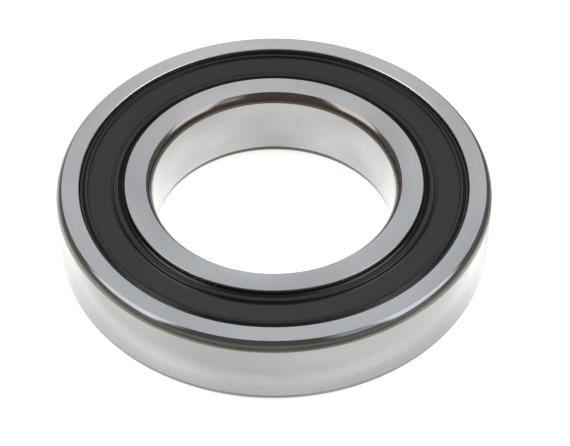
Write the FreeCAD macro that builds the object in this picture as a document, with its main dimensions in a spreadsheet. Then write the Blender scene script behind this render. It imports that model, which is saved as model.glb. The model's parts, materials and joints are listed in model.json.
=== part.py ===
import FreeCAD, Part
import os
import Sketcher

# Sealed deep-groove ball bearing, 70 x 125 x 24 mm.
#
# The axis is +Z and the origin is the middle of the bearing. The sizes stack outwards from the bore:
# inner ring wall, ball, outer ring wall; and upwards from the middle plane: ball, cage, seal, recess.
# With the values below they add up to an outside diameter of 125 mm and a width of 24 mm.

# Driving sizes, in millimetres unless a comment says otherwise.
SIZES = [
    # Rings and balls.
    ("bore_diameter", "70"),
    ("inner_ring_wall", "5"),        # from the bore to the bottom of the inner raceway
    ("outer_ring_wall", "5"),        # from the bottom of the outer raceway to the outside
    ("ball_diameter", "17.462"),
    ("ball_count", "11"),            # a number, not a length
    ("race_clearance", "0.019"),     # between a ball and the bottom of each raceway
    ("race_conformity", "0.53"),     # raceway groove radius over ball diameter
    ("shoulder_height", "3.5"),      # from the bottom of a raceway up to its shoulder
    ("corner_radial", "1.7"),        # mounting corners of both rings, measured across the face
    ("corner_axial", "3"),           # and along the axis
    ("corner_flatness", "1.15"),     # 1 makes the corner's arc leave the cylinder without an edge
    ("edge_break", "0.2"),           # small chamfer beside each seal
    # Cage: two pressed ribbons riveted back to back.
    ("cage_width", "6.3"),           # radial width of the ribbon
    ("cage_sheet", "1"),             # sheet thickness
    ("pocket_clearance", "0.15"),    # between a ball and its pocket
    ("rivet_share", "0.56"),         # rivet head radius over half of the flat web between pockets
    ("rivet_shank_share", "0.55"),   # rivet shank radius over its head radius
    ("rivet_head_height", "1.1"),
    # Seals: a rubber disc moulded on a steel insert.
    ("cage_seal_gap", "0.169"),
    ("insert_thickness", "0.3"),
    ("insert_edge", "0.3"),          # rubber left between the insert's edges and the grooves beside them
    ("rubber_cover", "1.03"),        # from the insert up to the foot of the bead
    ("seal_recess", "0.62"),         # from the ring faces down to the foot of the bead
    ("seal_mouth_step", "1.85"),     # from the outer ring's shoulder to the mouth of the seal's groove
    ("snap_depth", "0.75"),          # how far the groove is cut under its mouth
    ("snap_clearance", "0.1"),
    ("mouth_lip", "0.45"),           # straight part of the mouth
    ("bead_seat", "0.25"),           # straight part of the bead inside the groove
    ("mouth_gap", "0.65"),           # open ring between the mouth and the rubber's rim
    ("rim_drop", "0.25"),            # from the foot of the bead down to the rim
    ("rim_width", "0.25"),
    ("rim_groove_width", "0.51"),
    ("rim_groove_depth", "0.25"),
    ("bead_width", "1.02"),
    ("crown_rise", "0.12"),          # how far the bead and the ridge crown over their feet
    ("flat_drop", "0.48"),           # from the foot of the bead down to the outer edge of the flat
    ("flat_fall", "0.3"),            # fall of the flat from its outer edge to its inner edge
    ("line_groove_width", "0.57"),
    ("line_groove_depth", "0.1"),    # under the edge of the flat beside it
    ("groove_slope", "0.1"),         # how far the side of any groove leans in
    ("ridge_width", "1.37"),
    ("ridge_drop", "0.22"),          # from the foot of the bead down to the foot of the ridge
    ("flex_groove_width", "0.75"),
    ("flex_groove_depth", "0.66"),   # under the foot of the ridge
    ("lip_width", "0.95"),
    ("lip_drop", "0.41"),            # from the foot of the ridge down to the root of the lip
    ("lip_slope", "0.15"),           # fall of the lip from its root to its edge
    ("lip_clearance", "0.1"),        # between the lip and the inner ring
    ("seal_land_step", "0.6"),       # from the inner ring's shoulder in to the land under the lip
    ("seal_land_gap", "0.45"),       # length of that land that reaches in past the seal
]

# Sizes that follow from the driving ones.
DERIVED = [
    # Radii of the rings.
    ("bore_radius", "=Sizes.bore_diameter / 2"),
    ("ball_radius", "=Sizes.ball_diameter / 2"),
    ("inner_race_radius", "=bore_radius + Sizes.inner_ring_wall"),
    ("pitch_radius", "=inner_race_radius + Sizes.race_clearance + ball_radius"),
    ("outer_race_radius", "=pitch_radius + ball_radius + Sizes.race_clearance"),
    ("outside_radius", "=outer_race_radius + Sizes.outer_ring_wall"),
    ("groove_radius", "=Sizes.race_conformity * Sizes.ball_diameter"),
    ("inner_shoulder", "=inner_race_radius + Sizes.shoulder_height"),
    ("outer_shoulder", "=outer_race_radius - Sizes.shoulder_height"),
    ("seal_land", "=inner_shoulder - Sizes.seal_land_step"),
    ("seal_mouth", "=outer_shoulder + Sizes.seal_mouth_step"),
    ("seal_groove", "=seal_mouth + Sizes.snap_depth"),
    # Heights above the middle plane.
    ("cage_top", "=ball_radius + Sizes.pocket_clearance + Sizes.cage_sheet"),
    ("seal_inside", "=cage_top + Sizes.cage_seal_gap"),
    ("insert_top", "=seal_inside + Sizes.insert_thickness"),
    ("bead_foot", "=insert_top + Sizes.rubber_cover"),
    ("ridge_foot", "=bead_foot - Sizes.ridge_drop"),
    ("flat_high", "=bead_foot - Sizes.flat_drop"),
    ("flat_low", "=flat_high - Sizes.flat_fall"),
    ("rim_top", "=bead_foot - Sizes.rim_drop"),
    ("lip_top", "=ridge_foot - Sizes.lip_drop"),
    ("half_width", "=bead_foot + Sizes.seal_recess"),
    # Mounting corners: an arc that meets the face at an edge.
    ("corner_arc", "=Sizes.corner_flatness * (Sizes.corner_radial ^ 2 + Sizes.corner_axial ^ 2)"
                   " / (2 * Sizes.corner_radial)"),
    # Cage.
    ("pocket_radius", "=ball_radius + Sizes.pocket_clearance"),
    ("dome_radius", "=pocket_radius + Sizes.cage_sheet"),
    ("cage_inside", "=pitch_radius - Sizes.cage_width / 2"),
    ("cage_outside", "=pitch_radius + Sizes.cage_width / 2"),
    ("half_web", "=pitch_radius * sin(180deg / Sizes.ball_count) - dome_radius"),
    ("rivet_head", "=Sizes.rivet_share * half_web"),
    ("rivet_shank", "=Sizes.rivet_shank_share * rivet_head"),
    ("rivet_top", "=Sizes.cage_sheet + Sizes.rivet_head_height"),
    ("rivet_arc", "=(rivet_head ^ 2 + Sizes.rivet_head_height ^ 2) / (2 * Sizes.rivet_head_height)"),
    # Radii of the seal's forms, outwards from the lip and inwards from the mouth.
    ("lip_edge", "=seal_land + Sizes.lip_clearance"),
    ("lip_root", "=lip_edge + Sizes.lip_width"),
    ("ridge_inner", "=lip_root + Sizes.flex_groove_width"),
    ("ridge_outer", "=ridge_inner + Sizes.ridge_width"),
    ("flat_inner", "=ridge_outer + Sizes.line_groove_width"),
    ("rim_outer", "=seal_mouth - Sizes.mouth_gap"),
    ("rim_inner", "=rim_outer - Sizes.rim_width"),
    ("bead_outer", "=rim_inner - Sizes.rim_groove_width"),
    ("bead_inner", "=bead_outer - Sizes.bead_width"),
    ("flat_outer", "=bead_inner - Sizes.line_groove_width"),
    ("snap_radius", "=seal_groove - Sizes.snap_clearance"),
    ("insert_inner", "=ridge_inner + Sizes.insert_edge"),
    ("insert_outer", "=bead_outer - Sizes.insert_edge - Sizes.line_groove_width"),
    ("bead_arc", "=Sizes.bead_width ^ 2 / (8 * Sizes.crown_rise) + Sizes.crown_rise / 2"),
    ("ridge_arc", "=Sizes.ridge_width ^ 2 / (8 * Sizes.crown_rise) + Sizes.crown_rise / 2"),
]

UP = FreeCAD.Vector(0, 0, 1)
ORIGIN_POINT = (-1, 1)        # a sketch's own origin
HORIZONTAL_AXIS = -1          # a sketch's own X axis
START, END, CENTRE = 1, 2, 3  # points of a line, arc or circle in a sketch

doc = FreeCAD.newDocument("ball_bearing")


def fill_sheet(name, rows):
    """Make a spreadsheet with one named value in each row."""
    sheet = doc.addObject("Spreadsheet::Sheet", name)
    for number, (alias, text) in enumerate(rows, 1):
        sheet.set(f"A{number}", alias)
        sheet.set(f"B{number}", text)
        sheet.setAlias(f"B{number}", alias)
    return sheet


sizes = fill_sheet("Sizes", SIZES)
fill_sheet("Derived", DERIVED)
doc.recompute()


def origin_part(body, role):
    """One of a body's own origin planes or axes."""
    for feature in body.Origin.OriginFeatures:
        if feature.Role == role:
            return feature
    raise ValueError(role)


def new_body(name):
    body = doc.addObject("PartDesign::Body", name)
    body.Label = name
    return body


def new_sketch(body, name, plane="XZ_Plane", shift=None):
    """An empty sketch on one of the body's planes, its origin moved out along X by shift."""
    sketch = body.newObject("Sketcher::SketchObject", name)
    sketch.AttachmentSupport = (origin_part(body, plane), [""])
    sketch.MapMode = "FlatFace"
    if shift:
        sketch.setExpression(".AttachmentOffset.Base.x", shift)
    return sketch


def pin_point(sketch, shape, point, across, up):
    """Hold a point of a shape at two expressions, measured from the sketch's origin."""
    for kind, expression in (("DistanceX", across), ("DistanceY", up)):
        value = float(sketch.evalExpression(expression))
        rule = Sketcher.Constraint(kind, *ORIGIN_POINT, shape, point, value)
        number = sketch.addConstraint(rule)
        sketch.setExpression(f"Constraints[{number}]", expression)


def arc_between(start, end, radius):
    """The arc of less than half a turn that runs anticlockwise from start to end."""
    chord = end - start
    middle = (start + end) / 2
    height = (radius ** 2 - (chord.Length / 2) ** 2) ** 0.5
    centre = middle + UP.cross(chord).normalize() * height
    along = FreeCAD.Vector(1, 0, 0)
    turns = []
    for point in (start, end):
        spoke = point - centre
        turn = along.getAngle(spoke)
        turns.append(turn if spoke.y >= 0 else -turn)
    return Part.ArcOfCircle(Part.Circle(centre, UP, radius), *turns)


def draw_outline(sketch, corners):
    """Draw a closed outline, anticlockwise, through corners given as (across, up) expressions.

    A third item in a corner is the radius of a bulging arc to the next corner, in place of a line.
    """
    points = []
    for across, up, *_ in corners:
        points.append(FreeCAD.Vector(sketch.evalExpression(across), sketch.evalExpression(up), 0))
    shapes = []
    for number, (_, _, *bend) in enumerate(corners):
        start = points[number]
        end = points[(number + 1) % len(points)]
        if bend:
            edge = arc_between(start, end, float(sketch.evalExpression(bend[0])))
        else:
            edge = Part.LineSegment(start, end)
        shapes.append(sketch.addGeometry(edge))
    for number, (across, up, *bend) in enumerate(corners):
        pin_point(sketch, shapes[number], START, across, up)
        join = Sketcher.Constraint("Coincident", shapes[number - 1], END, shapes[number], START)
        sketch.addConstraint(join)
        if bend:
            radius = float(sketch.evalExpression(bend[0]))
            rule = sketch.addConstraint(Sketcher.Constraint("Radius", shapes[number], radius))
            sketch.setExpression(f"Constraints[{rule}]", bend[0])


def draw_circle(sketch, radius, across=None, up=None):
    """Draw a circle about the sketch's origin, or about a point given by two expressions."""
    size = float(sketch.evalExpression(radius))
    place = [float(sketch.evalExpression(text)) if text else 0 for text in (across, up)]
    shape = sketch.addGeometry(Part.Circle(FreeCAD.Vector(*place, 0), UP, size))
    rule = sketch.addConstraint(Sketcher.Constraint("Radius", shape, size))
    sketch.setExpression(f"Constraints[{rule}]", radius)
    if across and up:
        pin_point(sketch, shape, CENTRE, across, up)
    elif across:
        sketch.addConstraint(Sketcher.Constraint("PointOnObject", shape, CENTRE, HORIZONTAL_AXIS))
        distance = Sketcher.Constraint("DistanceX", *ORIGIN_POINT, shape, CENTRE, place[0])
        rule = sketch.addConstraint(distance)
        sketch.setExpression(f"Constraints[{rule}]", across)
    else:
        sketch.addConstraint(Sketcher.Constraint("Coincident", shape, CENTRE, *ORIGIN_POINT))


def turn_section(body, kind, name, sketch):
    """Add a full turn of a section about the sketch's vertical axis: a Revolution or a Groove."""
    feature = body.newObject(f"PartDesign::{kind}", name)
    feature.Profile = sketch
    feature.ReferenceAxis = (sketch, ["V_Axis"])
    feature.Angle = 360
    return feature


def cut_through(body, name, sketch):
    """Cut a sketch through the body, both ways from its plane."""
    feature = body.newObject("PartDesign::Pocket", name)
    feature.Profile = sketch
    feature.Type = "ThroughAll"
    feature.Midplane = True
    return feature


def repeat_around(body, name, feature):
    """Repeat a feature about the bearing's axis, once for each ball."""
    pattern = body.newObject("PartDesign::PolarPattern", name)
    pattern.Originals = [feature]
    pattern.Axis = (origin_part(body, "Z_Axis"), [""])
    pattern.Angle = 360
    pattern.setExpression("Occurrences", "Sizes.ball_count")
    body.Tip = pattern


def turn_over(body):
    """Place a body upside down, as the mate of the one above the middle plane."""
    body.Placement = FreeCAD.Placement(FreeCAD.Vector(), FreeCAD.Rotation(FreeCAD.Vector(1, 0, 0), 180))


def make_ring(name, upper_half, race_centre):
    """A ring: half a section turned about the axis, mirrored, and cut by its raceway."""
    body = new_body(name)
    section = new_sketch(body, f"{name}_section")
    draw_outline(section, upper_half)
    half = turn_section(body, "Revolution", f"{name}_half", section)
    whole = body.newObject("PartDesign::Mirrored", f"{name}_whole")
    whole.Originals = [half]
    whole.MirrorPlane = (origin_part(body, "XY_Plane"), [""])
    body.Tip = whole
    circle = new_sketch(body, f"{name}_race_circle")
    draw_circle(circle, "Derived.groove_radius", across=race_centre)
    turn_section(body, "Groove", f"{name}_raceway", circle)
    return body


def make_outer_ring():
    face = "Derived.half_width"
    mouth = "Derived.seal_mouth"
    lip_end = f"{face} - Sizes.mouth_lip"
    upper_half = [
        ("Derived.outside_radius", "0"),
        ("Derived.outside_radius", f"{face} - Sizes.corner_axial", "Derived.corner_arc"),
        ("Derived.outside_radius - Sizes.corner_radial", face),
        (f"{mouth} + Sizes.edge_break", face),
        (mouth, f"{face} - Sizes.edge_break"),
        (mouth, lip_end),
        ("Derived.seal_groove", f"{lip_end} - Sizes.snap_depth"),
        ("Derived.seal_groove", "Derived.seal_inside"),
        ("Derived.outer_shoulder", "Derived.seal_inside"),
        ("Derived.outer_shoulder", "0"),
    ]
    return make_ring("outer_ring", upper_half, "Derived.outer_race_radius - Derived.groove_radius")


def make_inner_ring():
    face = "Derived.half_width"
    land_start = "Derived.seal_inside - Sizes.seal_land_gap"
    upper_half = [
        ("Derived.inner_shoulder", "0"),
        ("Derived.inner_shoulder", f"{land_start} - Sizes.seal_land_step"),
        ("Derived.seal_land", land_start),
        ("Derived.seal_land", f"{face} - Sizes.edge_break"),
        ("Derived.seal_land - Sizes.edge_break", face),
        ("Derived.bore_radius + Sizes.corner_radial", face, "Derived.corner_arc"),
        ("Derived.bore_radius", f"{face} - Sizes.corner_axial"),
        ("Derived.bore_radius", "0"),
    ]
    return make_ring("inner_ring", upper_half, "Derived.inner_race_radius + Derived.groove_radius")


def make_ball(number):
    """One ball, in its place round the pitch circle."""
    ball = doc.addObject("Part::Sphere", f"ball_{number + 1:02d}")
    ball.Label = ball.Name
    ball.setExpression("Radius", "Derived.ball_radius")
    turn = f"{number} * 360deg / Sizes.ball_count"
    ball.setExpression(".Placement.Base.x", f"Derived.pitch_radius * cos({turn})")
    ball.setExpression(".Placement.Base.y", f"Derived.pitch_radius * sin({turn})")
    return ball


def make_cage_half(name, upside_down):
    """A pressed ribbon: a flat ring domed over each ball, trimmed to its width, with rivet holes."""
    body = new_body(name)
    web_sketch = new_sketch(body, f"{name}_web_sketch", "XY_Plane")
    draw_circle(web_sketch, "Derived.cage_outside")
    draw_circle(web_sketch, "Derived.cage_inside")
    web = body.newObject("PartDesign::Pad", f"{name}_web")
    web.Profile = web_sketch
    web.setExpression("Length", "Sizes.cage_sheet")

    for kind, label, radius in (
        ("AdditiveSphere", "dome", "Derived.dome_radius"),
        ("SubtractiveSphere", "pocket", "Derived.pocket_radius"),
    ):
        sphere = body.newObject(f"PartDesign::{kind}", f"{name}_{label}")
        sphere.AttachmentSupport = (origin_part(body, "XY_Plane"), [""])
        sphere.MapMode = "FlatFace"
        sphere.setExpression(".AttachmentOffset.Base.x", "Derived.pitch_radius")
        sphere.setExpression("Radius", radius)
        if kind == "AdditiveSphere":
            sphere.Angle1 = 0
        doc.recompute()
        repeat_around(body, f"{name}_{label}s", sphere)

    trim = new_sketch(body, f"{name}_trim_sketch", "XY_Plane")
    draw_circle(trim, "Derived.pitch_radius + 2 * Derived.dome_radius")
    draw_circle(trim, "Derived.cage_outside")
    draw_circle(trim, "Derived.cage_inside")
    cut_through(body, f"{name}_trim", trim)

    hole_sketch = new_sketch(body, f"{name}_hole_sketch", "XY_Plane")
    half_step = "180deg / Sizes.ball_count"
    draw_circle(
        hole_sketch,
        "Derived.rivet_shank",
        across=f"Derived.pitch_radius * cos({half_step})",
        up=f"Derived.pitch_radius * sin({half_step})",
    )
    hole = cut_through(body, f"{name}_hole", hole_sketch)
    doc.recompute()
    repeat_around(body, f"{name}_holes", hole)
    if upside_down:
        turn_over(body)
    return body


def make_rivets():
    """The cage's rivets, one between each two balls, as one node of separate solids."""
    body = new_body("cage_rivets")
    body.AllowCompound = True
    section = new_sketch(body, "rivet_section", shift="Derived.pitch_radius")
    corners = [
        ("0", "-Derived.rivet_top", "Derived.rivet_arc"),
        ("Derived.rivet_head", "-Sizes.cage_sheet"),
        ("Derived.rivet_shank", "-Sizes.cage_sheet"),
        ("Derived.rivet_shank", "Sizes.cage_sheet"),
        ("Derived.rivet_head", "Sizes.cage_sheet", "Derived.rivet_arc"),
        ("0", "Derived.rivet_top"),
    ]
    draw_outline(section, corners)
    rivet = turn_section(body, "Revolution", "rivet", section)
    doc.recompute()
    repeat_around(body, "rivets", rivet)
    body.setExpression(".Placement.Rotation.Angle", "180deg / Sizes.ball_count")
    return body


def groove_floor(inner, outer, height):
    """Corners of a groove's floor, from its outer side in to its inner side."""
    return [
        (f"{outer} - Sizes.groove_slope", height),
        (f"{inner} + Sizes.groove_slope", height),
    ]


def make_seal_rubber(name, upside_down):
    """The moulded rubber: a snap-in bead, a ringed flat over the insert, and a thin lip."""
    rim_floor = "Derived.rim_top - Sizes.rim_groove_depth"
    high_floor = "Derived.flat_high - Sizes.line_groove_depth"
    low_floor = "Derived.flat_low - Sizes.line_groove_depth"
    flex_floor = "Derived.ridge_foot - Sizes.flex_groove_depth"
    corners = [
        # Inside face, round the insert and out to the bead.
        ("Derived.lip_edge", "Derived.seal_inside"),
        ("Derived.insert_inner", "Derived.seal_inside"),
        ("Derived.insert_inner", "Derived.insert_top"),
        ("Derived.insert_outer", "Derived.insert_top"),
        ("Derived.insert_outer", "Derived.seal_inside"),
        ("Derived.snap_radius", "Derived.seal_inside"),
        ("Derived.snap_radius", "Derived.seal_inside + Sizes.bead_seat"),
        # Outside face, back in from the rim to the lip.
        ("Derived.rim_outer", "Derived.rim_top"),
        ("Derived.rim_inner", "Derived.rim_top"),
        *groove_floor("Derived.bead_outer", "Derived.rim_inner", rim_floor),
        ("Derived.bead_outer", "Derived.bead_foot", "Derived.bead_arc"),
        ("Derived.bead_inner", "Derived.bead_foot"),
        *groove_floor("Derived.flat_outer", "Derived.bead_inner", high_floor),
        ("Derived.flat_outer", "Derived.flat_high"),
        ("Derived.flat_inner", "Derived.flat_low"),
        *groove_floor("Derived.ridge_outer", "Derived.flat_inner", low_floor),
        ("Derived.ridge_outer", "Derived.ridge_foot", "Derived.ridge_arc"),
        ("Derived.ridge_inner", "Derived.ridge_foot"),
        *groove_floor("Derived.lip_root", "Derived.ridge_inner", flex_floor),
        ("Derived.lip_root", "Derived.lip_top"),
        ("Derived.lip_edge", "Derived.lip_top - Sizes.lip_slope"),
    ]
    body = new_body(name)
    section = new_sketch(body, f"{name}_section")
    draw_outline(section, corners)
    turn_section(body, "Revolution", f"{name}_disc", section)
    if upside_down:
        turn_over(body)
    return body


def make_seal_insert(name, upside_down):
    """The flat steel washer that stiffens a seal."""
    corners = [
        ("Derived.insert_inner", "Derived.seal_inside"),
        ("Derived.insert_outer", "Derived.seal_inside"),
        ("Derived.insert_outer", "Derived.insert_top"),
        ("Derived.insert_inner", "Derived.insert_top"),
    ]
    body = new_body(name)
    section = new_sketch(body, f"{name}_section")
    draw_outline(section, corners)
    turn_section(body, "Revolution", f"{name}_washer", section)
    if upside_down:
        turn_over(body)
    return body


subparts = [make_outer_ring(), make_inner_ring()]
for ball_number in range(int(sizes.ball_count)):
    subparts.append(make_ball(ball_number))
for side, turned in (("upper", False), ("lower", True)):
    subparts.append(make_cage_half(f"cage_{side}", turned))
subparts.append(make_rivets())
for side, turned in (("upper", False), ("lower", True)):
    subparts.append(make_seal_rubber(f"seal_{side}_rubber", turned))
    subparts.append(make_seal_insert(f"seal_{side}_insert", turned))

doc.recompute()

for item in doc.Objects:
    if "Invalid" in item.State or "Error" in item.State:
        raise RuntimeError(f"{item.Label} failed: {item.State}")
for subpart in subparts:
    if subpart.Shape.isNull() or not subpart.Shape.isValid():
        raise RuntimeError(f"{subpart.Label} has no valid shape")

os.makedirs("parts", exist_ok=True)
for subpart in subparts:
    subpart.Shape.exportStep(f"parts/{subpart.Label}.step")
    print(f"{subpart.Label}: {len(subpart.Shape.Solids)} solids, {subpart.Shape.Volume:.1f} mm3")
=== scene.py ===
import json
import math
import bpy
from mathutils import Matrix, Vector


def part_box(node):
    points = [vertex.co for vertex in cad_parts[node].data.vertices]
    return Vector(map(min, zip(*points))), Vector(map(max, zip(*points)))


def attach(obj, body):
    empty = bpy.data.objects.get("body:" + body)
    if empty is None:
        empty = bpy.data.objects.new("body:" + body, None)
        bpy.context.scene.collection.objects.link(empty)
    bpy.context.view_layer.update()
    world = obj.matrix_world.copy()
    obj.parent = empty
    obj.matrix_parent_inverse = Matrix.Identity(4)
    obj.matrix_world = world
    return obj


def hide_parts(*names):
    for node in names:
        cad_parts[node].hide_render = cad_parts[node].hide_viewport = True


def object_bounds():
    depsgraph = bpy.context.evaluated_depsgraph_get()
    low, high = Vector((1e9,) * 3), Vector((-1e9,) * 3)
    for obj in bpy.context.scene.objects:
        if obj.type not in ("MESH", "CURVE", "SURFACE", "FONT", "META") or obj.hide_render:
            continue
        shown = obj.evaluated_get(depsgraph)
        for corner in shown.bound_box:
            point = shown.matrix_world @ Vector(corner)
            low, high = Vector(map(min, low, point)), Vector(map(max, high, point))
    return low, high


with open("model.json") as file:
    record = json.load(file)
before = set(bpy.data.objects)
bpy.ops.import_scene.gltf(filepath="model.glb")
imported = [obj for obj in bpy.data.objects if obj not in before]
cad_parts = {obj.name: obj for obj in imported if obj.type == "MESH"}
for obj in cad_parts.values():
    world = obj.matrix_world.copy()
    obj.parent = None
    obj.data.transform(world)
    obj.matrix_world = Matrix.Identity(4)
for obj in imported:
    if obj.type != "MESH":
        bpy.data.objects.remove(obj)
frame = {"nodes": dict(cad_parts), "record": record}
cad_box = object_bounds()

# Sealed deep-groove ball bearing. Everything is in metres; outlines are written in millimetres.
MM = 0.001
TURN_STEPS = 360          # straight sides round each turned piece
ROUND_STEPS = 4           # straight sides in each rounded edge
ARC_STEPS = 14            # straight sides in each drawn arc


def mount_radius(name):
    """The radius of a round mount, as the record gives it."""
    for mount in frame["record"]["mounts"]:
        if mount["name"] == name:
            return mount["dims"]["r_mm"]
    raise ValueError(name)


# Sizes read from the frame, in millimetres.
HALF_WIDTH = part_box("outer_ring")[1][2] / MM
OUTSIDE = mount_radius("outside")
BORE = mount_radius("bore")
INNER_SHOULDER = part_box("inner_ring")[1][0] / MM
BALL_LOW, BALL_HIGH = (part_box("ball_01")[end][0] / MM for end in (0, 1))
BALL_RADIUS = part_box("ball_01")[1][2] / MM
PITCH = (BALL_LOW + BALL_HIGH) / 2
SEAL_INSIDE, SEAL_CROWN = (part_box("seal_upper_rubber")[end][2] / MM for end in (0, 1))
SNAP_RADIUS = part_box("seal_upper_rubber")[1][0] / MM
INSERT_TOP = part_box("seal_upper_insert")[1][2] / MM
INSERT_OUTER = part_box("seal_upper_insert")[1][0] / MM

# Sizes of the forms that a box doesn't show, in millimetres, as in the part's source.
RACE_CLEARANCE = 0.019
CONFORMITY = 0.53
SHOULDER_HEIGHT = 3.5
CORNER_RADIAL = 1.7
CORNER_AXIAL = 3.0
CORNER_FLATNESS = 1.15
EDGE_BREAK = 0.2
SEAL_MOUTH_STEP = 1.85
SNAP_DEPTH = 0.75
MOUTH_LIP = 0.45
SEAL_LAND_STEP = 0.6
SEAL_LAND_GAP = 0.45

OUTER_RACE = PITCH + BALL_RADIUS + RACE_CLEARANCE
INNER_RACE = PITCH - BALL_RADIUS - RACE_CLEARANCE
GROOVE = 2 * BALL_RADIUS * CONFORMITY
OUTER_SHOULDER = OUTER_RACE - SHOULDER_HEIGHT
SEAL_MOUTH = OUTER_SHOULDER + SEAL_MOUTH_STEP
SEAL_GROOVE = SEAL_MOUTH + SNAP_DEPTH
SEAL_LAND = INNER_SHOULDER - SEAL_LAND_STEP
CORNER_ARC = CORNER_FLATNESS * (CORNER_RADIAL ** 2 + CORNER_AXIAL ** 2) / (2 * CORNER_RADIAL)
POLISHED_SHARE = 0.42     # share of a corner's arc, from the face, that is ground bright

# Roundings of the rings' edges, in millimetres.
FACE_ROUNDING = 0.05
FINE_ROUNDING = 0.06
GROOVE_ROUNDING = 0.1
SHOULDER_ROUNDING = 0.15


# Outlines: corners (radius, height, rounding, finish).
# A finish belongs to the edge that leaves the corner.

def arc(start, end, radius, bulge=1):
    """Points of an arc from start to end that bulges to the right, or with bulge -1 to the left."""
    start, end = Vector(start), Vector(end)
    chord = end - start
    side = Vector((-chord.y, chord.x)).normalized() * bulge
    centre = (start + end) / 2 + side * math.sqrt(radius ** 2 - (chord.length / 2) ** 2)
    first = start - centre
    sweep = 2 * math.asin(chord.length / 2 / radius) * bulge
    points = []
    for step in range(ARC_STEPS + 1):
        turn = sweep * step / ARC_STEPS
        spoke = Vector((
            first.x * math.cos(turn) - first.y * math.sin(turn),
            first.x * math.sin(turn) + first.y * math.cos(turn),
        ))
        points.append(centre + spoke)
    return points


REACH_LIMIT = 0.45        # share of an edge that the rounding at one end may use


def rounded(corners):
    """Fine outline points (place, finish), with each corner rounded as it asks."""
    points = []
    count = len(corners)
    for number, (radius, height, rounding, finish) in enumerate(corners):
        here = Vector((radius, height))
        before = Vector(corners[number - 1][:2]) - here
        after = Vector(corners[(number + 1) % count][:2]) - here
        if not rounding:
            points.append((here, finish))
            continue
        half = before.angle(after) / 2
        room = REACH_LIMIT * min(before.length, after.length)
        reach = min(rounding / math.tan(half), room)
        size = reach * math.tan(half)
        inward = (before.normalized() + after.normalized()).normalized()
        centre = here + inward * size / math.sin(half)
        first = here + before.normalized() * reach - centre
        last = here + after.normalized() * reach - centre
        for step in range(ROUND_STEPS + 1):
            spoke = first.slerp(last, step / ROUND_STEPS).normalized() * size
            points.append((centre + spoke, finish))
    return points


SUPPORT_REACH = 0.03      # from a corner to the point that holds its shading in place
LONG_EDGE = 8 * SUPPORT_REACH


def with_supports(points):
    """Add a point near each end of every long edge, so that smooth shading stays flat between."""
    result = []
    for number, (here, finish) in enumerate(points):
        after = points[(number + 1) % len(points)][0]
        result.append((here, finish))
        edge = after - here
        if edge.length > LONG_EDGE:
            inset = edge.normalized() * SUPPORT_REACH
            result.append((here + inset, finish))
            result.append((after - inset, finish))
    return result


def lathe(name, corners, finishes):
    """A ring turned about Z from a closed outline, with a material for each finish."""
    outline = with_supports(rounded(corners))
    rows = len(outline)
    vertices = []
    for step in range(TURN_STEPS):
        turn = 2 * math.pi * step / TURN_STEPS
        for point, _ in outline:
            vertices.append((
                point.x * MM * math.cos(turn),
                point.x * MM * math.sin(turn),
                point.y * MM,
            ))
    faces = []
    slots = []
    names = list(finishes)
    for step in range(TURN_STEPS):
        here = step * rows
        there = (step + 1) % TURN_STEPS * rows
        for row in range(rows):
            after = (row + 1) % rows
            faces.append((here + row, there + row, there + after, here + after))
            slots.append(names.index(outline[row][1]))
    mesh = bpy.data.meshes.new(name)
    mesh.from_pydata(vertices, [], faces)
    for material in finishes.values():
        mesh.materials.append(material)
    mesh.polygons.foreach_set("material_index", slots)
    mesh.polygons.foreach_set("use_smooth", [True] * len(faces))
    mesh.update()
    piece = bpy.data.objects.new(name, mesh)
    bpy.context.scene.collection.objects.link(piece)
    return piece


def both_sides(upper):
    """A whole outline from its upper half, whose first and last corners lie on the middle plane."""
    lower = []
    count = len(upper)
    for number in range(count - 2, 0, -1):
        radius, height, rounding, _ = upper[number]
        lower.append((radius, -height, rounding, upper[number - 1][3]))
    # The lower half runs from the last corner back to the first, seen from below.
    last = upper[-1]
    middle = (last[0], last[1], last[2], upper[-2][3])
    return upper[:-1] + [middle] + lower


# Materials.

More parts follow.
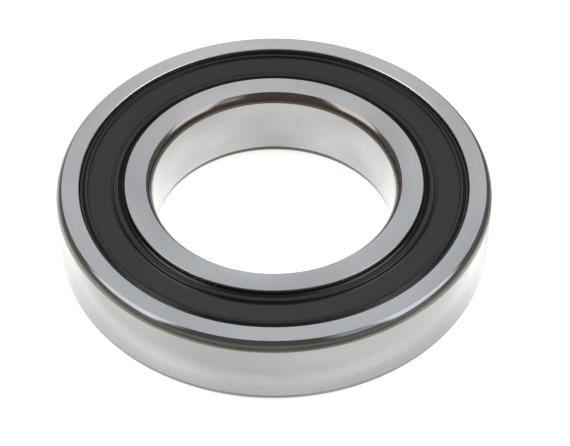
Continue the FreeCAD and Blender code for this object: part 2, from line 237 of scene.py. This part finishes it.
class Nodes:
    """A small helper to build the node tree of a new material, or of the world."""

    def __init__(self, name, owner=None):
        self.material = owner or bpy.data.materials.new(name)
        self.material.use_nodes = True
        self.tree = self.material.node_tree
        self.shader = self.tree.nodes["Background" if owner else "Principled BSDF"]

    def add(self, kind, inputs=None, **settings):
        """Add a node, change its settings, and feed its inputs."""
        node = self.tree.nodes.new(kind)
        for setting, value in settings.items():
            setattr(node, setting, value)
        for socket, value in (inputs or {}).items():
            self.feed(node, socket, value)
        return node

    def feed(self, node, socket, value):
        """Set a socket to a value, or link it when the value is another socket."""
        if isinstance(value, bpy.types.NodeSocket):
            self.tree.links.new(value, node.inputs[socket])
        else:
            node.inputs[socket].default_value = value

    def shade(self, **sockets):
        """Feed the shader; an underscore stands for the space in a socket's name."""
        for socket, value in sockets.items():
            self.feed(self.shader, socket.replace("_", " "), value)

    def math(self, operation, *values):
        node = self.add("ShaderNodeMath", operation=operation)
        for number, value in enumerate(values):
            self.feed(node, number, value)
        return node.outputs[0]

    def times(self, first, second):
        return self.math("MULTIPLY", first, second)

    def line(self, value, slope, start):
        """start + slope * value."""
        return self.math("MULTIPLY_ADD", value, slope, start)

    def combine(self, *values):
        node = self.add("ShaderNodeCombineXYZ")
        for number, value in enumerate(values):
            self.feed(node, number, value)
        return node.outputs[0]

    def place(self):
        """The shaded point in the object's own coordinates."""
        return self.add("ShaderNodeTexCoord").outputs["Object"]

    def split(self, vector):
        return self.add("ShaderNodeSeparateXYZ", {0: vector}).outputs

    def polar(self):
        """The radius, angle and height of the shaded point about the bearing's axis."""
        across, back, height = self.split(self.place())
        squares = self.math("ADD", self.times(across, across), self.times(back, back))
        return self.math("SQRT", squares), self.math("ARCTAN2", back, across), height

    def circle(self, angle, reach):
        """Two coordinates that come round again after a full turn."""
        across = self.times(self.math("COSINE", angle), reach)
        back = self.times(self.math("SINE", angle), reach)
        return across, back

    def noise(self, vector, scale, detail=2.0, roughness=0.5):
        inputs = {"Vector": vector, "Scale": scale, "Detail": detail, "Roughness": roughness}
        return self.add("ShaderNodeTexNoise", inputs).outputs["Fac"]

    def step(self, value, low, high):
        """0 below low, 1 above high, and a smooth rise between; it falls if low is the larger."""
        inputs = {"Value": value, "From Min": low, "From Max": high}
        node = self.add("ShaderNodeMapRange", inputs, interpolation_type="SMOOTHSTEP")
        return node.outputs["Result"]

    def mix(self, factor, first, second, blend="MIX"):
        # The mix node keeps its colour sockets at these numbers.
        node = self.add("ShaderNodeMix", data_type="RGBA", blend_type=blend)
        for number, value in ((0, factor), (6, first), (7, second)):
            self.feed(node, number, value)
        return node.outputs[2]

    def ramp(self, factor, *stops):
        """A colour ramp; each stop is (position, colour or grey level)."""
        node = self.add("ShaderNodeValToRGB", {"Fac": factor})
        elements = node.color_ramp.elements
        while len(elements) < len(stops):
            elements.new(1.0)
        for element, (position, colour) in zip(elements, stops):
            element.position = position
            element.color = (*colour, 1) if isinstance(colour, tuple) else (*[colour] * 3, 1)
        return node.outputs["Color"]

    def bump(self, height, distance, strength):
        inputs = {"Height": height, "Distance": distance, "Strength": strength}
        self.feed(self.shader, "Normal", self.add("ShaderNodeBump", inputs).outputs["Normal"])


def darker(colour, share):
    return tuple(share * part for part in colour)


# Textures of ground steel: waves a metre across the lines, and how much they vary round the axis.
LINES = (9000.0, 3.0)
PATCHES = (260.0, 1.6)
# painted sheen: wide fans of lighter and darker tint round the axis
PAINTED_SHEEN_FANS = (60.0, 1.3)
STROKES = (420.0, 24.0)


def ground_steel(name, colour, across_lines, roughness):
    """Ground steel with fine lines round the axis and a painted sheen in fans; across_lines is
    "radius" or "height".
    """
    nodes = Nodes(name)
    radius, angle, height = nodes.polar()
    crossing = radius if across_lines == "radius" else height
    lines_at = nodes.combine(nodes.times(crossing, LINES[0]), nodes.times(angle, LINES[1]), 0.0)
    lines = nodes.noise(lines_at, 1.0, 3.0, 0.6)
    patches_at = nodes.combine(nodes.times(crossing, PATCHES[0]), *nodes.circle(angle, PATCHES[1]))
    patches = nodes.noise(patches_at, 2.0, 3.0)
    painted_sheen_at = nodes.combine(*nodes.circle(angle, PAINTED_SHEEN_FANS[1]), nodes.times(crossing, PAINTED_SHEEN_FANS[0]))
    painted_sheen = nodes.noise(painted_sheen_at, 1.0, 1.0)
    strokes_at = nodes.combine(nodes.times(crossing, STROKES[0]), *nodes.circle(angle, STROKES[1]))
    strokes = nodes.noise(strokes_at, 1.0, 2.0)
    tint = nodes.ramp(patches, (0.3, darker(colour, 0.965)), (0.7, colour))
    for shade in (
        # painted sheen: the fans darken the tint in wide sectors round the axis
        nodes.ramp(painted_sheen, (0.36, 0.84), (0.62, 1.0)),
        nodes.ramp(strokes, (0.62, 1.0), (0.72, 0.94)),
        nodes.ramp(lines, (0.25, 0.98), (0.75, 1.0)),
    ):
        tint = nodes.mix(1.0, tint, shade, "MULTIPLY")
    rough = nodes.ramp(lines, (0.3, roughness), (0.7, 1.15 * roughness))
    nodes.shade(Base_Color=tint, Metallic=1.0, Roughness=rough, Anisotropic=0.55)
    tangent = nodes.add("ShaderNodeTangent", direction_type="RADIAL", axis="Z")
    nodes.feed(nodes.shader, "Tangent", tangent.outputs[0])
    nodes.bump(lines, 0.000001, 0.25)
    return nodes.material


def oxide_steel(name, *tones):
    """Turned steel left brown-black from hardening, with a streaky sheen in three tones."""
    nodes = Nodes(name)
    _, angle, height = nodes.polar()
    streaks_at = nodes.combine(*nodes.circle(angle, 3.0), nodes.times(height, 900.0))
    streaks = nodes.noise(streaks_at, 1.5, 4.0, 0.6)
    colour = nodes.ramp(streaks, *zip((0.3, 0.55, 0.75), tones))
    nodes.shade(Base_Color=colour, Metallic=0.9, Roughness=0.26)
    nodes.bump(streaks, 0.00001, 0.3)
    return nodes.material


def turned_steel(name):
    """The undercut of the seal's groove: turned, unground and in shade."""
    nodes = Nodes(name)
    radius, angle, height = nodes.polar()
    wear = nodes.noise(nodes.combine(nodes.times(radius, 900.0), angle, height), 4.0)
    colour = nodes.ramp(wear, (0.3, (0.42, 0.405, 0.38)), (0.7, (0.52, 0.505, 0.48)))
    nodes.shade(Base_Color=colour, Metallic=0.8, Roughness=0.5)
    return nodes.material


def polished_steel(name, colour, roughness):
    """Bright steel with a faint cloudiness."""
    nodes = Nodes(name)
    cloud = nodes.noise(nodes.place(), 180.0, 3.0)
    tint = nodes.ramp(cloud, (0.35, darker(colour, 0.94)), (0.7, colour))
    rough = nodes.ramp(cloud, (0.3, roughness), (0.75, roughness * 1.5))
    nodes.shade(Base_Color=tint, Metallic=1.0, Roughness=rough)
    return nodes.material


def moulded_rubber(name):
    """Charcoal nitrile rubber: satin, with a fine moulded grain and a few pale specks of dust."""
    nodes = Nodes(name)
    place = nodes.place()
    cloud = nodes.noise(place, 60.0, 3.0)
    grain = nodes.noise(place, 5200.0, 2.0, 0.6)
    specks = nodes.noise(place, 900.0, 0.0)
    base = nodes.ramp(cloud, (0.3, (0.0085, 0.0083, 0.0101)), (0.7, (0.011, 0.0107, 0.0129)))
    dust = nodes.ramp(specks, (0.82, 0.0), (0.86, 0.35))
    rough = nodes.ramp(cloud, (0.3, 0.19), (0.7, 0.23))
    tint = nodes.mix(dust, base, (0.16, 0.16, 0.165, 1.0))
    nodes.shade(Base_Color=tint, Roughness=rough, Specular_IOR_Level=0.5)
    nodes.bump(grain, 0.000006, 0.2)
    return nodes.material


STEEL = (0.625, 0.632, 0.635)
OUTSIDE_OXIDE = ((0.27, 0.25, 0.21), (0.35, 0.335, 0.295), (0.41, 0.4, 0.365))
BORE_OXIDE = ((0.1, 0.078, 0.062), (0.14, 0.112, 0.094), (0.18, 0.15, 0.13))

RING_FINISHES = {
    "face": ground_steel("ground_face", STEEL, "radius", 0.26),
    "wall": ground_steel("ground_wall", STEEL, "height", 0.16),
    "corner": polished_steel("polished_corner", (0.29, 0.292, 0.3), 0.05),
    "oxide": oxide_steel("corner_oxide", *OUTSIDE_OXIDE),
    "bore corner": polished_steel("polished_bore_corner", (0.27, 0.24, 0.215), 0.05),
    "bore oxide": oxide_steel("bore_oxide", *BORE_OXIDE),
    "groove": turned_steel("seal_groove_steel"),
    "race": polished_steel("honed_raceway", STEEL, 0.12),
}
SEAL_FINISHES = {"rubber": moulded_rubber("seal_rubber")}


# Rings.

def mounting_corner(wall, outward, ground, scale):
    """A ring's outer or bore corner, from the wall up to the face; outward is 1 or -1."""
    face_edge = (wall - outward * CORNER_RADIAL, HALF_WIDTH)
    wall_edge = (wall, HALF_WIDTH - CORNER_AXIAL)
    points = arc(wall_edge, face_edge, CORNER_ARC, outward)
    bright_from = round(ARC_STEPS * (1 - POLISHED_SHARE))
    corners = []
    for number, point in enumerate(points[:-1]):
        finish = ground if number >= bright_from else scale
        rounding = FINE_ROUNDING if number == 0 else 0
        corners.append((point.x, point.y, rounding, finish))
    corners.append((*face_edge, FACE_ROUNDING, "face"))
    return corners


def turned_over(corners, last_finish):
    """The same corners the other way round, with each finish kept on its own edge."""
    result = []
    for number in range(len(corners) - 1, -1, -1):
        radius, height, rounding, _ = corners[number]
        finish = corners[number - 1][3] if number else last_finish
        result.append((radius, height, rounding, finish))
    return result


def race_arc(centre, shoulder, outward):
    """A raceway's arc about the given radius, from the middle plane up to its shoulder."""
    reach = math.acos((shoulder - centre) / (outward * GROOVE))
    points = []
    for step in range(ARC_STEPS + 1):
        turn = reach * step / ARC_STEPS
        points.append((centre + outward * GROOVE * math.cos(turn), GROOVE * math.sin(turn)))
    return points


def outer_ring_outline():
    race = race_arc(OUTER_RACE - GROOVE, OUTER_SHOULDER, 1)
    lip_end = HALF_WIDTH - MOUTH_LIP
    upper = [(OUTSIDE, 0, 0, "wall")]
    upper += mounting_corner(OUTSIDE, 1, "corner", "oxide")
    upper += [
        (SEAL_MOUTH + EDGE_BREAK, HALF_WIDTH, FINE_ROUNDING, "face"),
        (SEAL_MOUTH, HALF_WIDTH - EDGE_BREAK, FINE_ROUNDING, "wall"),
        (SEAL_MOUTH, lip_end, GROOVE_ROUNDING, "groove"),
        (SEAL_GROOVE, lip_end - SNAP_DEPTH, GROOVE_ROUNDING, "groove"),
        (SEAL_GROOVE, SEAL_INSIDE, GROOVE_ROUNDING, "groove"),
        (OUTER_SHOULDER, SEAL_INSIDE, SHOULDER_ROUNDING, "wall"),
    ]
    for radius, height in reversed(race):
        upper.append((radius, height, 0, "race"))
    return both_sides(upper)


def inner_ring_outline():
    race = race_arc(INNER_RACE + GROOVE, INNER_SHOULDER, -1)
    land_start = SEAL_INSIDE - SEAL_LAND_GAP
    upper = []
    for radius, height in race:
        upper.append((radius, height, 0, "race"))
    upper[-1] = (*race[-1], 0, "wall")
    upper += [
        (INNER_SHOULDER, land_start - SEAL_LAND_STEP, SHOULDER_ROUNDING, "wall"),
        (SEAL_LAND, land_start, SHOULDER_ROUNDING, "wall"),
        (SEAL_LAND, HALF_WIDTH - EDGE_BREAK, FINE_ROUNDING, "oxide"),
        (SEAL_LAND - EDGE_BREAK, HALF_WIDTH, FINE_ROUNDING, "face"),
    ]
    upper += turned_over(mounting_corner(BORE, -1, "bore corner", "bore oxide"), "wall")
    upper.append((BORE, 0, 0, "wall"))
    return both_sides(upper)


outer_ring = lathe("outer_ring_turned", outer_ring_outline(), RING_FINISHES)
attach(outer_ring, "outer_ring")
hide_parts("outer_ring")

inner_ring = lathe("inner_ring_turned", inner_ring_outline(), RING_FINISHES)
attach(inner_ring, "inner_ring")
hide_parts("inner_ring")


# Seals.

# The seal's radii, from the lip outwards, in millimetres.
LIP_EDGE = SEAL_LAND + 0.1
LIP_RIDGE = LIP_EDGE + 0.55
RIDGE_INNER = LIP_EDGE + 1.7
RIDGE_OUTER = RIDGE_INNER + 1.37
VALLEY = RIDGE_INNER - 0.5
FLAT_INNER = RIDGE_OUTER + 0.57
BEAD_OUTER = SEAL_MOUTH - 1.41
BEAD_INNER = BEAD_OUTER - 1.02
FLAT_OUTER = BEAD_INNER - 0.57
RIM_CREST = BEAD_OUTER + 0.21
RIM_OUTER = RIM_CREST + 0.35
SHELF_OUTER = SEAL_MOUTH - 0.3
INSERT_INNER = RIDGE_INNER + 0.3

# Its heights above the middle plane.
CROWN_RISE = 0.12
BEAD_FOOT = SEAL_CROWN - CROWN_RISE
RIDGE_FOOT = BEAD_FOOT - 0.22
RIM_TOP = BEAD_FOOT - 0.25
FLAT_HIGH = BEAD_FOOT - 0.48
FLAT_LOW = FLAT_HIGH - 0.3
LIP_TOP = RIDGE_FOOT - 0.18
LIP_LOW = RIDGE_FOOT - 0.56
VALLEY_FLOOR = RIDGE_FOOT - 0.76
SHELF = RIM_TOP - 0.29
RIM_GROOVE = RIM_TOP - 0.18
STEP_FLOOR = FLAT_HIGH - 0.04
SNAP_TOP = SEAL_INSIDE + 0.25

GROOVE_SLOPE = 0.1
BEVEL = 0.19                      # outward bevel on the outer edge of each raised band
RIB_CREST = FLAT_INNER + 0.3 * BEVEL
RIB_OUTER = FLAT_INNER + 1.7 * BEVEL
EDGE_ROUNDING = 0.05
SEAT_ROUNDING = 0.08
SNAP_ROUNDING = 0.15
STEP_ROUNDING = 0.2               # the soft step from the flat up to the bead


def rubber_corners(*places, rounding=EDGE_ROUNDING):
    """Corners (radius, height) of the rubber, all rounded alike."""
    return [(*place, rounding, "rubber") for place in places]


def crown_corners(outer, inner, foot):
    """A low rounded crown between two grooves, with its outer edge bevelled."""
    top = outer - BEVEL
    width = top - inner
    points = arc((top, foot), (inner, foot), width ** 2 / (8 * CROWN_RISE) + CROWN_RISE / 2)
    corners = rubber_corners((outer, foot - BEVEL), (top, foot))
    corners += rubber_corners(*points[1:-1], rounding=0)
    corners += rubber_corners((inner, foot))
    return corners


def seal_outline():
    """The rubber round its insert: outwards under the insert, and back over it to the lip."""
    corners = rubber_corners((LIP_EDGE, SEAL_INSIDE), rounding=SEAT_ROUNDING)
    corners += rubber_corners((INSERT_INNER, SEAL_INSIDE), (INSERT_INNER, INSERT_TOP),
                              (INSERT_OUTER, INSERT_TOP), (INSERT_OUTER, SEAL_INSIDE), rounding=0)
    corners += rubber_corners((SNAP_RADIUS, SEAL_INSIDE), rounding=SEAT_ROUNDING)
    corners += rubber_corners((SNAP_RADIUS, SNAP_TOP), rounding=SNAP_ROUNDING)
    corners += rubber_corners((SHELF_OUTER, SHELF), (RIM_OUTER, SHELF), (RIM_CREST, RIM_TOP),
                              (RIM_CREST - GROOVE_SLOPE, RIM_GROOVE))
    corners += crown_corners(BEAD_OUTER, BEAD_INNER, BEAD_FOOT)
    corners += rubber_corners((BEAD_INNER - GROOVE_SLOPE, STEP_FLOOR), rounding=STEP_ROUNDING)
    corners += rubber_corners((FLAT_OUTER + GROOVE_SLOPE, STEP_FLOOR), (FLAT_OUTER, FLAT_HIGH),
                              (RIB_OUTER, FLAT_LOW), (RIB_CREST, FLAT_LOW + BEVEL),
                              (RIDGE_OUTER + GROOVE_SLOPE, FLAT_LOW))
    corners += crown_corners(RIDGE_OUTER, RIDGE_INNER, RIDGE_FOOT)
    corners += rubber_corners((VALLEY, VALLEY_FLOOR), (LIP_RIDGE, LIP_TOP), (LIP_EDGE, LIP_LOW))
    return corners


for side in ("upper", "lower"):
    seal = lathe(f"seal_{side}_moulding", seal_outline(), SEAL_FINISHES)
    if side == "lower":
        seal.data.transform(Matrix.Rotation(math.pi, 4, "X"))
    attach(seal, "outer_ring")
    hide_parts(f"seal_{side}_rubber")


# CAD nodes that keep their shape.

ball_finish = polished_steel("ball_steel", (0.72, 0.72, 0.73), 0.05)
cage_finish = polished_steel("cage_steel", (0.52, 0.52, 0.52), 0.3)
rivet_finish = polished_steel("rivet_steel", (0.56, 0.56, 0.56), 0.25)
insert_finish = polished_steel("insert_steel", (0.5, 0.5, 0.5), 0.35)


def dress(node, material):
    """Give a CAD node one material."""
    piece = frame["nodes"][node]
    piece.data.materials.clear()
    piece.data.materials.append(material)


for name in frame["nodes"]:
    if name.startswith("ball_"):
        dress(name, ball_finish)
for side in ("upper", "lower"):
    dress(f"cage_{side}", cage_finish)
    dress(f"seal_{side}_insert", insert_finish)
dress("cage_rivets", rivet_finish)


# Stage: floor and world.

FLOOR_GAP = 0.00002               # keeps the paper from lying in the plane of the lower faces
FLOOR_REACH = 3.0
PAPER = 0.8                       # share of the light that the paper sends back
PAPER_GLOW = 0.75                 # brings the paper up to white for the camera

# Painted reflection: light and shade painted on the paper, seen only by metal. Places and radii are
# in metres, each pair from and to.
FLOOR_DEPTH = 0.16                # the tones run from this far in front back to the middle
FLOOR_TONES = ((0.0, 0.14), (0.35, 0.16), (0.48, 0.55), (0.62, 0.6), (0.77, 0.66), (0.9, 0.88))
NEAR_LEVEL = 1.52
FALL_RADII = (0.078, 0.22)
FALL = -1.1
# painted shade on the paper right under the ring, lifted outside RING_RADII
PAINTED_SHADE_UNDER_RING = 0.9
RING_RADII = (0.064, 0.068)
RING_RISE = 0.07
PAINTED_BAND_START = (0.067, 0.069)       # painted light: the pale band that the turned side throws on the paper
PAINTED_BAND_END = (0.073, 0.071)
PAINTED_BAND_RISE = 0.14
REAR_ACROSS = (0.0, 0.08)         # painted shade: the darker right rear
REAR_BACK = (-0.015, 0.025)
PAINTED_REAR_SHADE = -0.65
BORE_RADII = (0.036, 0.044)       # inside them the paper is seen through the bore
# painted shade on the paper under the bore, lighter away from the middle line
PAINTED_BORE_SHADE = 0.85
BORE_RISES = ((0.0, 0.01, 0.22), (0.014, 0.034, 0.28))


def painted_reflection_outside(nodes, across, back, radius):
    """Painted reflection of the paper round the bearing, as metal sees it: bright close by, darker
    in front and afar, with painted shade under the ring and a painted pale band beside it.
    """
    light = nodes.ramp(nodes.line(back, 1 / FLOOR_DEPTH, 1.0), *FLOOR_TONES)
    near = nodes.line(nodes.step(radius, *FALL_RADII), FALL, NEAR_LEVEL)
    band = nodes.times(nodes.step(radius, *PAINTED_BAND_START), nodes.step(radius, *PAINTED_BAND_END))
    ring = nodes.line(band, PAINTED_BAND_RISE, PAINTED_SHADE_UNDER_RING)
    ring = nodes.line(nodes.step(radius, *RING_RADII), RING_RISE, ring)
    rear = nodes.times(nodes.step(across, *REAR_ACROSS), nodes.step(back, *REAR_BACK))
    level = nodes.times(nodes.times(near, ring), light)
    return nodes.times(level, nodes.line(rear, PAINTED_REAR_SHADE, 1.0))


def painted_shade_in_bore(nodes, across):
    """Painted shade on the paper under the bore, as the bore sees it: a little darker on the middle
    line.
    """
    sideways = nodes.math("ABSOLUTE", across)
    level = PAINTED_BORE_SHADE
    for start, end, rise in BORE_RISES:
        level = nodes.line(nodes.step(sideways, start, end), rise, level)
    return level


def make_floor():
    """Pale paper, white to the camera, that keeps the bearing's shadow; metal sees painted light
    and shade glowing on it instead.
    """
    mesh = bpy.data.meshes.new("floor")
    level = cad_box[0][2] - FLOOR_GAP
    low, high = -FLOOR_REACH, FLOOR_REACH
    corners = [(low, low, level), (high, low, level), (high, high, level), (low, high, level)]
    mesh.from_pydata(corners, [], [(0, 1, 2, 3)])
    floor = bpy.data.objects.new("floor", mesh)
    bpy.context.scene.collection.objects.link(floor)
    nodes = Nodes("floor_paper")
    across, back, _ = nodes.split(nodes.place())
    radius, _, _ = nodes.polar()
    outside = nodes.step(radius, *BORE_RADII)
    bore = nodes.math("SUBTRACT", 1.0, outside)
    painted_reflection = nodes.math("ADD", nodes.times(outside, painted_reflection_outside(nodes, across, back, radius)),
                          nodes.times(bore, painted_shade_in_bore(nodes, across)))
    path = nodes.add("ShaderNodeLightPath").outputs
    glossy = nodes.math("MAXIMUM", path["Is Glossy Ray"], path["Is Transmission Ray"])
    paper = nodes.line(glossy, -PAPER, PAPER)
    # glossy rays see the paper glow with the painted light and shade; the camera sees it glow white
    glow = nodes.line(path["Is Camera Ray"], PAPER_GLOW, nodes.times(glossy, painted_reflection))
    nodes.shade(Base_Color=nodes.combine(paper, paper, paper), Roughness=0.9,
                Emission_Color=(1.0, 0.995, 0.975, 1.0), Emission_Strength=glow)
    mesh.materials.append(nodes.material)


# The studio. All angles are in degrees: turn from the front, and rise above the horizon.
# A patch gives its way round (turn, or side for both sides alike), turn from and to, rise from
# and to, softness of its edge, and colour.
OVERHEAD = (0.56, 0.59, 0.625, 1.0)
OVERHEAD_FROM = (38.0, 54.0)
UPPER_WALL = (1.0, 1.0, 1.01, 1.0)
UPPER_WALL_FROM = (26.0, 38.0)
LOWER_WALL = (0.28, 0.265, 0.25, 1.0)
STUDIO_PATCHES = (
    ("side", 56.0, 96.0, 21.0, 60.0, 5.0, (2.2, 2.25, 2.35, 1.0)),
    ("turn", -50.0, 30.0, 20.0, 72.0, 8.0, (0.2, 0.185, 0.165, 1.0)),
    ("side", -20.0, 75.0, -20.0, 14.0, 6.0, (0.4, 0.385, 0.355, 1.0)),
)
WHITE = (1.0, 1.0, 1.0, 1.0)


def inside(nodes, value, low, high, soft):
    """1 between low and high, with soft ends."""
    begun = nodes.step(value, low - soft, low + soft)
    not_over = nodes.step(value, high + soft, high - soft)
    return nodes.times(begun, not_over)


def make_world():
    """A studio: pale overhead, dark near the horizon and behind the camera, bright at the sides."""
    world = bpy.data.worlds.new("studio")
    bpy.context.scene.world = world
    nodes = Nodes("studio", world)
    across, back, up = nodes.split(nodes.add("ShaderNodeTexCoord").outputs["Generated"])
    rise = nodes.math("DEGREES", nodes.math("ARCSINE", up))
    turn = nodes.math("DEGREES", nodes.math("ARCTAN2", across, nodes.times(back, -1.0)))
    ways = {"turn": turn, "side": nodes.math("ABSOLUTE", turn)}
    light = nodes.mix(nodes.step(rise, *OVERHEAD_FROM), UPPER_WALL, OVERHEAD)
    light = nodes.mix(nodes.step(rise, *UPPER_WALL_FROM), LOWER_WALL, light)
    for way, turn_low, turn_high, rise_low, rise_high, soft, colour in STUDIO_PATCHES:
        patch = nodes.times(inside(nodes, ways[way], turn_low, turn_high, soft),
                            inside(nodes, rise, rise_low, rise_high, soft))
        light = nodes.mix(patch, light, colour)
    seen = nodes.add("ShaderNodeLightPath").outputs["Is Camera Ray"]
    nodes.shade(Color=nodes.mix(seen, light, WHITE), Strength=1.0)


make_floor()
make_world()

# Camera: about 45 degrees above the front, a short telephoto.
CAMERA_DISTANCE = 0.6039
CAMERA_ELEVATION = math.radians(45.18)
CAMERA_YAW = math.radians(-0.293)
CAMERA_PITCH = math.radians(-1.193)
CAMERA_ROLL = math.radians(-0.194)
CAMERA_LENS = 133.05
CAMERA_SENSOR = 36.0
CAMERA_CLIP = 0.01


def make_camera():
    """A camera that looks at the middle of the upper face, with a small turn, tilt and roll."""
    target = Vector((0, 0, cad_box[1][2]))
    away = Vector((0, -math.cos(CAMERA_ELEVATION), math.sin(CAMERA_ELEVATION)))
    data = bpy.data.cameras.new("camera")
    data.lens = CAMERA_LENS
    data.sensor_width = CAMERA_SENSOR
    data.clip_start = CAMERA_CLIP
    camera = bpy.data.objects.new("camera", data)
    aim = (-away).to_track_quat("-Z", "Y").to_matrix().to_4x4()
    turn = Matrix.Rotation(CAMERA_YAW, 4, "Y") @ Matrix.Rotation(CAMERA_PITCH, 4, "X")
    roll = Matrix.Rotation(CAMERA_ROLL, 4, "Z")
    place = Matrix.Translation(target + away * CAMERA_DISTANCE)
    camera.matrix_world = place @ aim @ turn @ roll
    bpy.context.scene.collection.objects.link(camera)
    bpy.context.scene.camera = camera


make_camera()
bpy.context.scene.view_settings.view_transform = "Standard"
